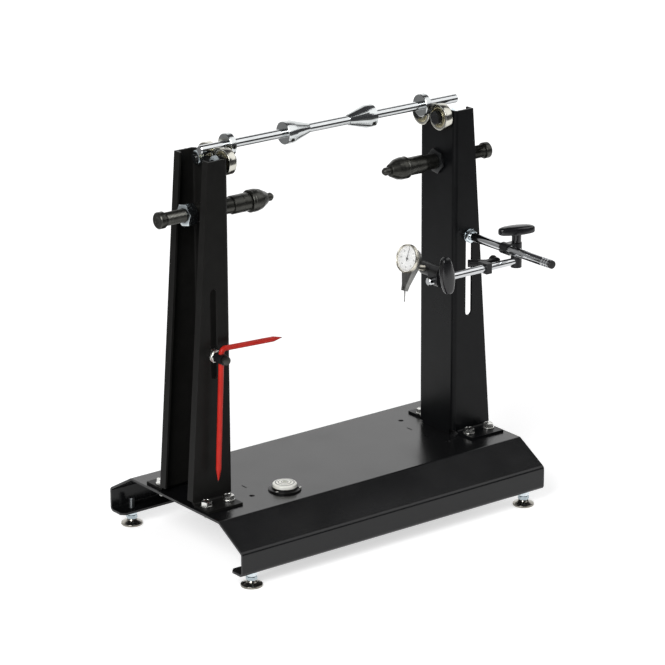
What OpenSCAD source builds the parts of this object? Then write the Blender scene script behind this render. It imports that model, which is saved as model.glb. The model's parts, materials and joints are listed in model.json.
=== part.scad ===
// Wheel balancing and truing stand. Millimetres, +Z up.
// The origin is on the floor, in the middle of the four levelling feet.
// +X runs along the balancing shaft to the right post, -Y is the front.

/* [Base plate] */
// Length of the base along the shaft
base_l = 500; // [480:5:540]
// Overall depth of the base, flange to flange
base_w = 296; // [280:2:320]
// Depth of the flat top
base_top = 196; // [180:2:210]
// Height of the underside of the base above the floor
base_z = 20.4; // [20:0.1:28]
// Height of the upright flanges
flange_h = 32.1; // [24:0.1:34]
// Height of the flat top above the underside
base_h = 60.6; // [50:0.1:64]
// Sheet thickness of base and posts
sheet_t = 3; // [2.5:0.5:3]
// Width of the inward bottom lips
lip_w = 28; // [26:1:32]

/* [Posts] */
// Distance from the middle to the wheel side of a post's web
web_x = 183; // [180:1:190]
// Width of a post across its flanges
post_w = 73; // [66:1:76]
// Height of a post above the base
post_h = 450; // [430:5:470]
// Depth of a post at its top
post_d_top = 31; // [28:1:34]
// Depth of a post at its foot
post_d_foot = 64; // [60:1:66]
// Width of the return lips on the posts' outer edges
post_lip = 12; // [10:1:14]

/* [Shaft and bearings] */
// Diameter of the balancing shaft
shaft_d = 12; // [11.9:0.05:12.05]
// Left end of the shaft
shaft_x0 = -201; // [-204:1:-198]
// Right end of the shaft
shaft_x1 = 214; // [206:1:220]
// Outer diameter of the ball bearings
brg_d = 35; // [34:0.5:35]
// Width of the ball bearings
brg_b = 11; // [10:0.5:11]
// Half the distance between the two bearings of a post
brg_y = 18.25; // [18:0.25:18.5]

/* [Pointer] */
// Diameter of the pointer rod
pointer_d = 7; // [6:0.5:8]
// Lean of the pointer in its clamp
pointer_tilt = 2.7; // [0:0.1:6]
// Height of the pointer clamp above the floor
pointer_z = 277; // [270:0.5:320]

/* [Dial indicator] */
// Tilt of the dial face upwards
dial_tilt = 17; // [14:1:22]
// Turn of the dial face towards the front
dial_turn = 4; // [2:1:8]
// Outer diameter of the dial bezel
bezel_d = 37.5; // [37:0.5:39]

/* [Hidden] */

top_z = base_z + base_h;                 // upper face of the base
post_top = top_z + post_h;               // top of the posts
bend_r = 3;                              // inner radius of the sheet bends
shaft_r = shaft_d / 2;
shaft_z = post_top + 6;                  // shaft axis
// bearing axis height: the two circles just touch, less a hair of air
brg_reach = shaft_r + brg_d / 2 + 0.1;
brg_z = shaft_z - sqrt(brg_reach * brg_reach - brg_y * brg_y);
spacer_t = 3;                            // spacer between web and bearing
brg_x = web_x - spacer_t - brg_b / 2;    // middle of a bearing
true_z = base_z + 436.6;                   // truing spindle axis
slot_x = 208.8;                          // slots in the front flanges
slot_z0 = base_z + 225.6;
slot_z1 = base_z + 344.6;
slot_w = 10.6;
foot_x = 226;
foot_y = base_w / 2 - 14;
bolt_x = [200, 234];
bolt_y = 50;
level_x = -116;
level_y = -58;
left_s = -151;                           // outer face of the left spindle's sleeve
right_s = 154.5;
rod_z = base_z + 337.2;                  // indicator rod axis
rod_x = 208.8;
col_x = 221.5;                             // swivel column of the rod clamp
col_y = -118;
arm_z = base_z + 319.6;                    // arm rod axis
jaw_x = 88;                              // bolt axis of the end clamp
jaw_z = base_z + 329.6;
jaw_y = -99;
pin_x = -208.5;                          // pointer stud
pin_y = -51;                             // plane of the pointer
run = 0.06;                              // radial running clearance

// ---------- helpers ----------
function unit(v) = v / norm(v);
function tan_len(p, q, r, rad) =
  let (u = unit(p - q), v = unit(r - q), c = u * v) rad * sqrt((1 + c) / (1 - c));
function fillet_c(p, q, r, rad) =
  let (u = unit(p - q), v = unit(r - q)) q + unit(u + v) * rad / sqrt((1 - u * v) / 2);
// a counter-clockwise convex outline moved inwards by t
function inset(pts, t) = let (n = len(pts)) [for (i = [0:n - 1])
  let (a = unit(pts[i] - pts[(i + n - 1) % n]), b = unit(pts[(i + 1) % n] - pts[i]),
       na = [-a[1], a[0]], nb = [-b[1], b[0]])
  pts[i] + (na + nb) * t / (1 + na * nb)];

// a convex outline with rounded corners
module rounded(pts, rad) {
  n = len(pts);
  polygon([for (i = [0:n - 1]) for (k = [0, 1])
    let (p = pts[(i + n - 1) % n], q = pts[i], r = pts[(i + 1) % n], l = tan_len(p, q, r, rad))
    k == 0 ? q + unit(p - q) * l : q + unit(r - q) * l]);
  for (i = [0:n - 1])
    translate(fillet_c(pts[(i + n - 1) % n], pts[i], pts[(i + 1) % n], rad)) circle(r = rad, $fn = 64);
}

module along_x(x0, x1, y, z, r, fn = 64) {
  translate([min(x0, x1), y, z]) rotate([0, 90, 0]) cylinder(r = r, h = abs(x1 - x0), $fn = fn);
}
module along_y(y0, y1, x, z, r, fn = 64) {
  translate([x, max(y0, y1), z]) rotate([90, 0, 0]) cylinder(r = r, h = abs(y1 - y0), $fn = fn);
}
module hex(af, h) { cylinder(r = af / sqrt(3), h = h, $fn = 6); }
// stadium outline centred on the origin, long axis along X
module stadium(l, w) {
  for (s = [-1, 1]) translate([s * (l - w) / 2, 0]) circle(r = w / 2, $fn = 64);
  square([l - w, w], center = true);
}

// ---------- base plate ----------
module base_section() {
  pts = [[base_w / 2, 0], [base_w / 2, flange_h], [base_top / 2, base_h],
         [-base_top / 2, base_h], [-base_w / 2, flange_h], [-base_w / 2, 0]];
  difference() {
    rounded(pts, bend_r + sheet_t);
    rounded(inset(pts, sheet_t), bend_r);
    translate([-base_w / 2 + lip_w, -1]) square([base_w - 2 * lip_w, sheet_t + 2]);
  }
}
module base_plate() {
  color([0.10, 0.10, 0.11]) difference() {
    translate([-base_l / 2, 0, base_z]) rotate([90, 0, 90]) linear_extrude(base_l) base_section();
    // chamfered lip corners
    for (sx = [-1, 1], sy = [-1, 1])
      translate([sx * base_l / 2, sy * (base_w / 2 - lip_w), base_z - 1]) rotate([0, 0, 45])
        cube([8, 8, 2 * (sheet_t + 1)], center = true);
    // post bolts
    for (sx = [-1, 1], sy = [-1, 1], x = bolt_x)
      translate([sx * x, sy * bolt_y, top_z - sheet_t - 1]) cylinder(r = 4.5, h = sheet_t + 2, $fn = 48);
    // tapped holes for the levelling feet
    for (sx = [-1, 1], sy = [-1, 1])
      translate([sx * foot_x, sy * foot_y, base_z - 1]) cylinder(r = 4 + run, h = sheet_t + 2, $fn = 48);
    // level screws
    for (a = [-37, 83, 203])
      translate([level_x + 19.6 * cos(a), level_y + 19.6 * sin(a), top_z - sheet_t - 1])
        cylinder(r = 1.25, h = sheet_t + 2, $fn = 32);
    // four short slots and four round holes
    for (sx = [-1, 1], sy = [-1, 1]) {
      translate([sx * 152.3, sy * 18.5, top_z - sheet_t - 1]) rotate([0, 0, 90])
        linear_extrude(sheet_t + 2) stadium(11, 1.8);
      translate([sx * 163.4, sy * 50.8, top_z - sheet_t - 1])
        cylinder(r = 3.6, h = sheet_t + 2, $fn = 48);
    }
  }
}

// ---------- posts ----------
module post_body() {
  x0 = web_x;
  xt = web_x + post_d_top;
  xf = web_x + post_d_foot;
  hw = post_w / 2;
  t = sheet_t;
  relief = 2 * t;                        // height of the foot bend
  c_pts = [[x0, -hw], [xf + 20, -hw], [xf + 20, hw], [x0, hw]];
  difference() {
    union() {
      // web and flanges, cut to the taper
      difference() {
        translate([0, 0, top_z + relief]) linear_extrude(post_h - relief) difference() {
          rounded(c_pts, bend_r + t);
          rounded(inset(c_pts, t), bend_r);
        }
        translate([0, hw + 1, 0]) rotate([90, 0, 0]) linear_extrude(post_w + 2)
          polygon([[xf, top_z], [xf + 40, top_z], [xf + 40, post_top + 1],
                   [xt, post_top + 1], [xt, post_top]]);
      }
      // lower end of the web
      translate([x0, -hw + 8, top_z]) cube([t, post_w - 16, relief + 1]);
      for (s = [-1, 1]) {
        // return lips
        translate([0, s > 0 ? hw : -hw + post_lip, 0]) rotate([90, 0, 0]) linear_extrude(post_lip)
          polygon([[xf - 0.44, top_z + relief], [xt, post_top], [xt - t, post_top],
                   [xf - 0.44 - t, top_z + relief]]);
        // foot tabs with their bends
        translate([x0 + 8, 0, top_z]) rotate([90, 0, 90]) linear_extrude(xf - x0 - 10) {
          translate([s > 0 ? hw + t : -hw - 32.5, 0]) square([32.5 - t, t]);
          intersection() {
            translate([s * (hw + t), relief]) difference() {
              circle(r = relief, $fn = 64);
              circle(r = t, $fn = 64);
            }
            translate([s > 0 ? hw - t - 1 : -hw - t, -1]) square([2 * t + 1, relief + 1]);
          }
        }
      }
    }
    // bearing bolts
    for (s = [-1, 1]) along_x(x0 - 1, x0 + t + 1, s * brg_y, brg_z, 5.2);
    // shaft relief in the top of the web
    translate([x0 - 1, -12, post_top - 6]) cube([t + 2, 24, 7]);
    // truing bush
    along_x(x0 - 1, x0 + t + 1, 0, true_z, 12.3);
    // small pilot hole
    along_x(x0 - 1, x0 + t + 1, -21, base_z + 282.6, 2);
    // slot in the front flange
    translate([slot_x, -hw + t + 1, (slot_z0 + slot_z1) / 2]) rotate([90, 0, 0]) linear_extrude(t + 2)
      rotate(90) stadium(slot_z1 - slot_z0, slot_w);
    // foot bolts
    for (s = [-1, 1], x = bolt_x)
      translate([x, s * bolt_y, top_z - 1]) cylinder(r = 4.5, h = t + 2, $fn = 48);
  }
}
module right_post() { color([0.09, 0.09, 0.10]) post_body(); }
module left_post() { color([0.09, 0.09, 0.10]) mirror([1, 0, 0]) post_body(); }

// ---------- fasteners of the frame ----------
module post_bolts() {
  color([0.78, 0.78, 0.76])
    for (sx = [-1, 1], sy = [-1, 1], x = bolt_x) translate([sx * x, sy * bolt_y, 0]) {
      translate([0, 0, top_z + sheet_t + 1.6]) rotate([0, 0, x]) hex(13, 5.3);
      translate([0, 0, top_z - 13]) cylinder(r = 4, h = 13 + sheet_t + 2, $fn = 48);
    }
}
module post_washers() {
  color([0.80, 0.80, 0.78])
    for (sx = [-1, 1], sy = [-1, 1], x = bolt_x)
      translate([sx * x, sy * bolt_y, top_z + sheet_t]) difference() {
        cylinder(r = 8, h = 1.6, $fn = 64);
        translate([0, 0, -1]) cylinder(r = 4.2, h = 4, $fn = 48);
      }
}
module m8_nut() {
  difference() {
    hex(13, 6.5);
    translate([0, 0, -1]) cylinder(r = 4 + run, h = 9, $fn = 48);
  }
}
module m8_hex_nuts() {
  color([0.78, 0.78, 0.76]) {
    for (sx = [-1, 1], sy = [-1, 1], x = bolt_x)
      translate([sx * x, sy * bolt_y, top_z - sheet_t - 6.5]) m8_nut();
    for (sx = [-1, 1], sy = [-1, 1])
      translate([sx * foot_x, sy * foot_y, base_z - 6.5]) rotate([0, 0, 20]) m8_nut();
  }
}

// ---------- bearings ----------
module each_bearing() {
  for (sx = [-1, 1], sy = [-1, 1]) translate([sx * brg_x, sy * brg_y, brg_z]) children();
}
module bearing_bolts() {
  color([0.12, 0.12, 0.12])
    for (sx = [-1, 1], sy = [-1, 1]) {
      xh = sx * (brg_x - brg_b / 2 - 6.4);
      translate([sx > 0 ? xh : xh - 5.6, sy * brg_y, brg_z]) rotate([0, 90, 0]) hex(17, 5.6);
      along_x(sx * (brg_x - brg_b / 2 - 1), sx * (brg_x - brg_b / 2), sy * brg_y, brg_z, 7.5);
      along_x(sx * (brg_x - brg_b / 2 - 3), sx * (web_x + sheet_t + 11), sy * brg_y, brg_z, 5);
    }
}
module bearing_spacers() {
  color([0.75, 0.75, 0.73])
    for (sx = [-1, 1], sy = [-1, 1]) difference() {
      along_x(sx * (web_x - spacer_t), sx * web_x, sy * brg_y, brg_z, 8);
      along_x(sx * (web_x - spacer_t - 1), sx * (web_x + 1), sy * brg_y, brg_z, 5 + run);
    }
}
module bearing_nuts() {
  color([0.82, 0.82, 0.80])
    for (sx = [-1, 1], sy = [-1, 1]) difference() {
      translate([sx > 0 ? web_x + sheet_t : -web_x - sheet_t - 8.4, sy * brg_y, brg_z])
        rotate([0, 90, 0]) rotate([0, 0, 12]) hex(17, 8.4);
      along_x(sx * (web_x + 1), sx * (web_x + sheet_t + 10), sy * brg_y, brg_z, 5 + run);
    }
}
module bearing_inner_rings() {
  color([0.80, 0.80, 0.78]) each_bearing() rotate([0, 90, 0]) rotate_extrude($fn = 96) difference() {
    translate([5 + run, -brg_b / 2]) square([8.95 - 5 - run, brg_b]);
    translate([11.25, 0]) circle(r = 3.15, $fn = 48);
  }
}
module bearing_balls() {
  color([0.85, 0.85, 0.86]) each_bearing()
    for (i = [0:6]) rotate([i * 360 / 7, 0, 0]) translate([0, 11.25, 0]) sphere(r = 3.1, $fn = 32);
}
module outer_ring(sx, sy) {
  color([0.80, 0.78, 0.70]) translate([sx * brg_x, sy * brg_y, brg_z]) rotate([0, 90, 0])
    rotate_extrude($fn = 120) difference() {
      polygon([[9.25, -brg_b / 2 + 0.2], [13.4, -brg_b / 2 + 0.2], [13.6, -brg_b / 2],
               [brg_d / 2 - 0.8, -brg_b / 2], [brg_d / 2, -brg_b / 2 + 0.8],
               [brg_d / 2, brg_b / 2 - 0.8], [brg_d / 2 - 0.8, brg_b / 2], [13.6, brg_b / 2],
               [13.4, brg_b / 2 - 0.2], [9.25, brg_b / 2 - 0.2]]);
      translate([8, -brg_b / 2 + 1]) square([5.6, brg_b - 2]);
      translate([11.25, 0]) circle(r = 3.2, $fn = 48);
    }
}
module bearing_outer_lf() { outer_ring(-1, -1); }
module bearing_outer_lb() { outer_ring(-1, 1); }
module bearing_outer_rf() { outer_ring(1, -1); }
module bearing_outer_rb() { outer_ring(1, 1); }

// ---------- balancing shaft, collars, cones ----------
module balancing_shaft() {
  color([0.86, 0.87, 0.88]) translate([0, 0, shaft_z]) rotate([0, 90, 0]) rotate_extrude($fn = 96)
    polygon([[0, shaft_x0], [shaft_r - 1, shaft_x0], [shaft_r, shaft_x0 + 1],
             [shaft_r, shaft_x1 - 1], [shaft_r - 1, shaft_x1], [0, shaft_x1]]);
}
// ring of revolution about the shaft axis from [radius, x] points
module on_shaft(pts, screw_x, screw_a) {
  difference() {
    translate([0, 0, shaft_z]) rotate([0, 90, 0]) rotate_extrude($fn = 96) polygon(pts);
    translate([screw_x, 0, shaft_z]) rotate([screw_a, 0, 0]) rotate([90, 0, 0])
      translate([0, 0, 5]) cylinder(r = 3, h = 20, $fn = 48);
  }
}
module set_screw(x, a, r_top) {
  translate([x, 0, shaft_z]) rotate([a, 0, 0]) rotate([90, 0, 0]) difference() {
    translate([0, 0, shaft_r + 0.4]) cylinder(r = 2.95, h = r_top - shaft_r - 0.4, $fn = 48);
    translate([0, 0, r_top - 2.5]) hex(3, 4);
  }
}
module collar(xc) {
  color([0.80, 0.81, 0.82]) on_shaft([
    [shaft_r + 0.05, xc - 4.5], [14.2, xc - 4.5], [15, xc - 3.7], [15, xc + 3.7],
    [14.2, xc + 4.5], [shaft_r + 0.05, xc + 4.5]], xc, 0);
}
module left_stop_collar() { collar(-157.5); }
module right_stop_collar() { collar(157.5); }
module left_collar_screw() { color([0.75, 0.75, 0.75]) set_screw(-157.5, 0, 15.4); }
module right_collar_screw() { color([0.75, 0.75, 0.75]) set_screw(157.5, 0, 15.4); }
// s = +1: small end towards +X
module cone(xf, s) {
  color([0.82, 0.83, 0.84]) on_shaft(s > 0 ? [
    [shaft_r + 0.05, xf], [14.4, xf], [15, xf + 0.6], [15, xf + 12], [7, xf + 39],
    [shaft_r + 0.05, xf + 39]] : [
    [shaft_r + 0.05, xf], [shaft_r + 0.05, xf - 39], [7, xf - 39], [15, xf - 12],
    [15, xf - 0.6], [14.4, xf]], xf + s * 6, 30);
}
module left_centring_cone() { cone(-70.5, 1); }
module right_centring_cone() { cone(73, -1); }
module left_cone_screw() { color([0.75, 0.75, 0.75]) set_screw(-64.5, 30, 15.2); }
module right_cone_screw() { color([0.75, 0.75, 0.75]) set_screw(67, 30, 15.2); }

// ---------- truing spindles ----------
module truing_bushes() {
  color([0.13, 0.13, 0.13]) for (s = [-1, 1]) difference() {
    union() {
      translate([s > 0 ? web_x - 4.6 : -web_x, 0, true_z]) rotate([0, 90, 0]) rotate([0, 0, 43]) hex(30, 4.6);
      along_x(s * (web_x - 1), s * 212.9, 0, true_z, 12, 96);
    }
    along_x(s * 170, s * 214, 0, true_z, 8.8 + run, 96);
  }
}
module truing_lock_nuts() {
  color([0.82, 0.82, 0.80]) for (s = [-1, 1]) difference() {
    translate([s > 0 ? 213 : -227.5, 0, true_z]) rotate([0, 90, 0]) rotate([0, 0, 18]) hex(27, 14.5);
    along_x(s * 200, s * 230, 0, true_z, 8.8 + run);
  }
}
module spindle(x0, s) {
  color([0.14, 0.14, 0.14]) difference() {
    // sleeve, ground neck, threaded rod and head, with a bore for the cone's pin
    translate([x0, 0, true_z]) rotate([0, s * 90, 0]) rotate_extrude($fn = 96)
      polygon([[0, -116], [9.6, -116], [10.9, -114.7], [10.9, -107.6], [8.8, -105.5], [8.8, -23.5],
               [10.3, -23.5], [10.3, -3.5], [11.2, -3.5], [12.1, -2.6], [12.1, 23.8],
               [5 + run, 23.8], [5 + run, 5], [0, 5]]);
    // cross hole for a tommy bar
    translate([x0 - s * 111.2, 0, true_z]) rotate([20, 0, 0]) rotate([90, 0, 0])
      cylinder(r = 2.2, h = 30, center = true, $fn = 32);
  }
}
module live_cone(x0, s) {
  color([0.15, 0.15, 0.15]) translate([x0, 0, true_z]) rotate([0, s * 90, 0])
    rotate_extrude($fn = 96)
      polygon([[0, 6], [5, 6], [5, 24.2], [13.8, 24.2], [14.8, 25.2], [14.8, 34.5], [13.4, 41.5],
               [8.2, 51.5], [4.6, 51.5], [5.4, 53], [5.4, 59.5], [3.4, 62.5], [0, 62.5]]);
}
module left_truing_spindle() { spindle(left_s, 1); }
module left_truing_cone() { live_cone(left_s, 1); }
module right_truing_spindle() { spindle(right_s, -1); }
module right_truing_cone() { live_cone(right_s, -1); }

// ---------- bubble level ----------
module level_housing() {
  color([0.08, 0.08, 0.08]) translate([level_x, level_y, top_z]) difference() {
    rotate_extrude($fn = 96)
      polygon([[0, 0], [21.7, 0], [21.7, 1.8], [21.2, 2.3], [17.4, 2.3], [17.4, 4.2],
               [16.9, 4.7], [15.85, 4.7], [15.85, 1.5], [0, 1.5]]);
    for (a = [-37, 83, 203]) translate([19.6 * cos(a), 19.6 * sin(a), -1])
      cylinder(r = 1.25, h = 5, $fn = 32);
  }
}
module level_vial() {
  color([0.93, 0.93, 0.88]) translate([level_x, level_y, top_z]) rotate_extrude($fn = 96)
    polygon([[0, 1.5], [15.8, 1.5], [15.8, 7.6], [15.2, 8.8], [13.8, 9.5], [11, 10], [6, 10.3], [0, 10.4]]);
}
module level_screws() {
  color([0.80, 0.80, 0.80]) for (a = [-37, 83, 203])
    translate([level_x + 19.6 * cos(a), level_y + 19.6 * sin(a), top_z]) {
      translate([0, 0, 2.3]) cylinder(r = 1.8, h = 1.3, $fn = 48);
      translate([0, 0, -5]) cylinder(r = 1.2, h = 7.8, $fn = 32);
    }
}

// ---------- levelling feet ----------
module foot(sx, sy) {
  color([0.80, 0.80, 0.78]) translate([sx * foot_x, sy * foot_y, 0]) {
    rotate_extrude($fn = 96)
      polygon([[0, 0], [14.2, 0], [14.5, 0.6], [14.2, 3], [12.6, 3.4], [7, 6], [6, 8.6], [0, 8.6]]);
    translate([0, 0, 8.4]) rotate([0, 0, 20]) hex(13, 5.1);
    cylinder(r = 4, h = 37, $fn = 48);
  }
}
module foot_front_left() { foot(-1, -1); }
module foot_front_right() { foot(1, -1); }
module foot_back_left() { foot(-1, 1); }
module foot_back_right() { foot(1, 1); }

// ---------- pointer on the left post ----------
flange_y = -post_w / 2;
module pointer_stud() {
  color([0.78, 0.78, 0.76]) {
    translate([pin_x - 8, flange_y + sheet_t + 0.3, pointer_z - 8]) cube([16, 5, 16]);
    along_y(flange_y + sheet_t + 1, pin_y + 5.2, pin_x, pointer_z, 4);
  }
}
module pointer_stud_nut() {
  color([0.82, 0.82, 0.80]) difference() {
    union() {
      along_y(flange_y - 0.3, flange_y - 1.9, pin_x, pointer_z, 8.5);
      translate([pin_x, flange_y - 1.7, pointer_z]) rotate([90, 0, 0]) hex(13, 4);
    }
    along_y(flange_y + 1, flange_y - 8, pin_x, pointer_z, 4 + run);
  }
}
// the block turns on the stud; the rod goes through it across the stud axis
module pointer_frame() {
  translate([pin_x, pin_y, pointer_z]) rotate([0, pointer_tilt, 0]) children();
}
module pointer_clamp_block() {
  color([0.11, 0.11, 0.11]) difference() {
    along_y(pin_y + 8, pin_y - 7, pin_x, pointer_z, 7);
    along_y(pin_y + 9, pin_y + 4.7, pin_x, pointer_z, 4 + run);
    pointer_frame() translate([0, 0, -12]) cylinder(r = pointer_d / 2 + run, h = 24, $fn = 64);
    along_y(pin_y - 1, pin_y - 8, pin_x, pointer_z, 2.5 + run);
  }
}
module pointer_thumb_screw() {
  color([0.10, 0.10, 0.10]) {
    along_y(pin_y - pointer_d / 2 - 0.4, pin_y - 8, pin_x, pointer_z, 2.5);
    difference() {
      along_y(pin_y - 7.3, pin_y - 13, pin_x, pointer_z, 5.8);
      for (a = [0:30:330])
        along_y(pin_y - 7, pin_y - 14, pin_x + 6.4 * cos(a), pointer_z + 6.4 * sin(a), 1, 24);
    }
  }
}
module pointer_rod() {
  r = pointer_d / 2;
  color([0.80, 0.16, 0.12]) pointer_frame() {
    rotate_extrude($fn = 64) polygon([[0, -165], [0.3, -165], [r, -147], [r, 7.2], [0, 7.2]]);
    translate([6, 0, 7.2]) rotate([90, 0, 0]) rotate([0, 0, 90]) rotate_extrude(angle = 90, $fn = 64)
      translate([6, 0]) circle(r = r, $fn = 64);
    translate([6, 0, 13.2]) rotate([0, 90, 0]) rotate_extrude($fn = 64)
      polygon([[0, 0], [r, 0], [r, 75], [0.3, 89], [0, 89]]);
  }
}

// ---------- indicator holder on the right post ----------
module indicator_rod_nuts() {
  color([0.84, 0.84, 0.82]) difference() {
    union() {
      translate([rod_x, flange_y - 1.8, rod_z]) rotate([90, 0, 0]) rotate([0, 0, 15]) hex(17, 4);
      along_y(flange_y - 0.3, flange_y - 1.9, rod_x, rod_z, 9.6);
      translate([rod_x, flange_y + sheet_t + 8.3, rod_z]) rotate([90, 0, 0]) rotate([0, 0, 15]) hex(17, 8);
    }
    along_y(-15, -50, rod_x, rod_z, 5 + run);
  }
}
module indicator_rod() {
  color([0.86, 0.87, 0.88]) {
    along_y(-20, -44, rod_x, rod_z, 5);
    along_y(flange_y - 6.2, -186, rod_x, rod_z, 6);
    for (i = [0:2]) along_y(-188.2 - i * 4.6, -190.8 - i * 4.6, rod_x, rod_z, 6);
    along_y(-185, -201.6, rod_x, rod_z, 5.3);
    along_y(-201, -203.6, rod_x, rod_z, 2.5);
  }
}
module indicator_rod_cap() {
  color([0.08, 0.08, 0.08]) translate([rod_x, 0, rod_z]) rotate([90, 0, 0]) rotate_extrude($fn = 64)
    polygon([[2.56, 201.8], [5.1, 201.8], [5.5, 202.3], [5.5, 204.1], [4.6, 205.3], [0, 205.6],
             [0, 203.8], [2.56, 203.8]]);
}
module rod_clamp_block() {
  color([0.10, 0.10, 0.10]) difference() {
    union() {
      along_y(-106, -120.3, rod_x, rod_z, 7.8);
      translate([rod_x, -121, rod_z - 6]) cube([col_x - rod_x, 12.5, 13]);
      translate([col_x, col_y, arm_z + 10.5]) cylinder(r = 7.3, h = rod_z + 7.5 - arm_z - 10.5, $fn = 64);
    }
    along_y(-100, -130, rod_x, rod_z, 6 + run);
    translate([col_x, col_y, arm_z]) cylinder(r = 4 + run, h = 60, $fn = 48);
    // split of the eye
    translate([rod_x - 10, -130, rod_z - 0.6]) cube([5, 30, 1.2]);
  }
}
module arm_clamp_block() {
  color([0.10, 0.10, 0.10]) difference() {
    translate([col_x, col_y, arm_z - 8.6]) cylinder(r = 7.3, h = 18.8, $fn = 64);
    along_x(col_x - 10, col_x + 10, col_y, arm_z, 5 + run);
    translate([col_x, col_y, arm_z + 6]) cylinder(r = 4 + run, h = 10, $fn = 48);
  }
}
// oval outline of four arcs, k times the full size, long axis along X
module oval(k) {
  intersection() {
    translate([0, -50 * k]) circle(r = 60 * k, $fn = 128);
    translate([0, 50 * k]) circle(r = 60 * k, $fn = 128);
    square([42.68 * k, 40 * k], center = true);
  }
  for (s = [-1, 1]) translate([s * 19.03 * k, 0]) circle(r = 6.5 * k, $fn = 64);
}
// oval domed knob, long axis along X, top up, with a neck below
module wing_knob(neck) {
  translate([0, 0, neck]) linear_extrude(8) oval(1);
  translate([0, 0, neck + 8]) linear_extrude(1.2) oval(0.94);
  translate([0, 0, neck + 9.2]) linear_extrude(1.1) oval(0.80);
  translate([0, 0, neck + 10.3]) linear_extrude(0.8) oval(0.55);
  cylinder(r = 6.3, h = neck + 1, $fn = 64);
}
module clamp_knob() {
  color([0.08, 0.08, 0.08]) {
    translate([col_x, col_y, rod_z + 7.8]) rotate([0, 0, -18]) wing_knob(11.6);
    translate([col_x, col_y, arm_z + 6.4]) cylinder(r = 4, h = rod_z + 9 - arm_z - 6.4, $fn = 48);
  }
}
module arm_rod() {
  color([0.86, 0.87, 0.88]) translate([0, col_y, arm_z]) rotate([0, 90, 0]) rotate_extrude($fn = 64)
    polygon([[0, 72], [4.2, 72], [5, 72.8], [5, 225.2], [4.2, 226], [0, 226]]);
}
module stem_holder_block() {
  color([0.09, 0.09, 0.09]) difference() {
    union() {
      translate([165.5, col_y - 6.6, arm_z - 7]) cube([9, 15.6, 14]);
      // arm behind the rod with the eye of the thumb screw
      translate([166, col_y + 5.8, arm_z - 1.5]) cube([27.5, 6.2, 8]);
      along_y(col_y + 5.8, col_y + 12, 193.5, arm_z + 2.5, 5.5);
      // barrel for a dial stem
      translate([180, col_y + 9, arm_z + 2]) rotate([0, 0, 142.5]) rotate([0, 90, 0])
        cylinder(r = 5, h = 26, $fn = 64);
    }
    along_x(160, 200, col_y, arm_z, 5 + run);
    along_y(col_y + 2, col_y + 14, 193.5, arm_z + 2.5, 2.5 + run, 48);
  }
}
module stem_holder_screw() {
  color([0.08, 0.08, 0.08]) {
    along_y(col_y + 6.2, col_y + 13.2, 193.5, arm_z + 2.5, 2.5, 48);
    along_y(col_y + 12.3, col_y + 16.6, 193.5, arm_z + 2.5, 6.6);
  }
}
module end_clamp_block() {
  color([0.10, 0.10, 0.10]) difference() {
    translate([jaw_x, -108.6, 0]) rotate([90, 0, 0]) linear_extrude(18) {
      translate([0, arm_z]) circle(r = 8.5, $fn = 64);
      translate([0, jaw_z]) circle(r = 8.5, $fn = 64);
      translate([-8.5, arm_z]) square([17, jaw_z - arm_z]);
    }
    along_x(60, 120, col_y, arm_z, 5 + run);
    along_y(-100, -130, jaw_x, jaw_z, 4 + run);
  }
}
module end_clamp_knob() {
  color([0.08, 0.08, 0.08]) {
    translate([jaw_x, -126.9, jaw_z]) rotate([90, 0, 0]) rotate([0, 0, 98]) wing_knob(6);
    along_y(-103.6, -128, jaw_x, jaw_z, 4);
  }
}
// frame of the dial: local Z leaves the face, local X points up the dial
module dial_frame() {
  translate([jaw_x, jaw_y, jaw_z]) rotate([0, -(90 - dial_tilt), dial_turn]) children();
}
// the same, centred on the dial above the stem
module dial_centre() { dial_frame() translate([9.7, 0, -3]) children(); }
module stem_jaw() {
  color([0.10, 0.10, 0.10]) difference() {
    along_y(-90, -108.2, jaw_x, jaw_z, 8.5);
    along_y(-103.2, -110, jaw_x, jaw_z, 4 + run);
    dial_frame() translate([0, 0, -20]) cylinder(r = 4 + run, h = 40, $fn = 64);
  }
}
module indicator_stem() {
  color([0.85, 0.85, 0.86]) dial_frame() {
    translate([0, 0, -15]) cylinder(r = 4, h = 40, $fn = 64);
    // dovetail foot in the back of the body
    translate([-6, -5, 24.4]) cube([12, 10, 3.6]);
    translate([-6, -3.4, 27.5]) cube([12, 6.8, 1.7]);
  }
}
module indicator_body() {
  color([0.70, 0.70, 0.68]) dial_centre() difference() {
    union() {
      translate([0, 0, 31]) cylinder(r = 13, h = 10, $fn = 96);
      translate([0, 0, 39.6]) cylinder(r = 17, h = 1.4, $fn = 96);
      // tapered neck, thinner towards the stylus
      intersection() {
        translate([0, 0, 31]) linear_extrude(10) polygon([[-6, -12.5], [-16, -9.5], [-34, -4.2],
          [-42, -3.2], [-42, 3.2], [-34, 4.2], [-16, 9.5], [-6, 12.5]]);
        rotate([90, 0, 0]) linear_extrude(40, center = true) polygon([[0, 31], [-14, 31],
          [-42, 33.6], [-42, 40], [-16, 40.6], [0, 41]]);
      }
      // bearing of the needle spindle
      translate([0, 0, 40.5]) cylinder(r = 2.2, h = 2, $fn = 48);
    }
    // dovetail groove in the back
    translate([-17, -3.8, 30]) cube([15, 7.6, 2.2]);
    translate([0, 0, 38]) cylinder(r = 0.8 + run, h = 6, $fn = 32);
    // fork for the stylus
    translate([-43, -1.6, 30]) cube([6.5, 3.2, 14]);
    translate([-39, 5, 37]) rotate([90, 0, 0]) cylinder(r = 0.7 + run, h = 10, $fn = 32);
  }
}
module indicator_bezel() {
  color([0.78, 0.78, 0.76]) dial_centre() rotate_extrude($fn = 96)
    polygon([[17.42, 41.3], [bezel_d / 2 - 0.6, 41.3], [bezel_d / 2, 42], [bezel_d / 2, 46.4],
             [bezel_d / 2 - 0.6, 47.4], [17.5, 47.4], [16.9, 46.8], [16.9, 44.4], [17.42, 44.4]]);
}
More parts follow.
